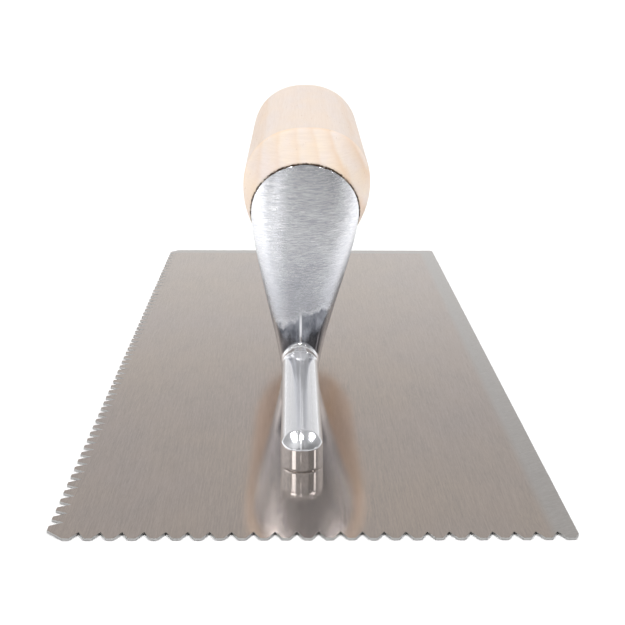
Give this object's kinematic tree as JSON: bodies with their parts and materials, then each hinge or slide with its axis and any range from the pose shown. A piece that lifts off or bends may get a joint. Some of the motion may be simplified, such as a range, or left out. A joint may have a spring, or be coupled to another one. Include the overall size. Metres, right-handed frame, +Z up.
{
  "type": "notched trowel",
  "caption": "V-notched flooring and tile adhesive trowel: flat steel blade notched on one long and one short edge, cast aluminium mounting, turned wooden handle.",
  "frame": {"origin": "centre of the blade's flat underside", "axes": "+Z up from the blade to the handle, +Y along the blade towards the handle's tail, -X towards the notched long edge"},
  "size_m": [0.1164, 0.2868, 0.0781],
  "materials": {
    "blade_steel": "fine brushed, bright",
    "cast_aluminium": "linished and polished casting",
    "pale_wood": "sanded, unvarnished",
    "rivet_steel": "ground flush",
    "plated_steel": "zinc plated"
  },
  "bodies": {
    "root": {"blade": "blade_steel", "mounting": "cast_aluminium", "rivet_1": "rivet_steel", "rivet_2": "rivet_steel", "rivet_3": "rivet_steel", "rivet_4": "rivet_steel", "rivet_5": "rivet_steel", "rivet_6": "rivet_steel", "handle": "pale_wood", "tang_rod": "plated_steel", "washer": "plated_steel", "nut": "plated_steel"}
  },
  "joints": []
}
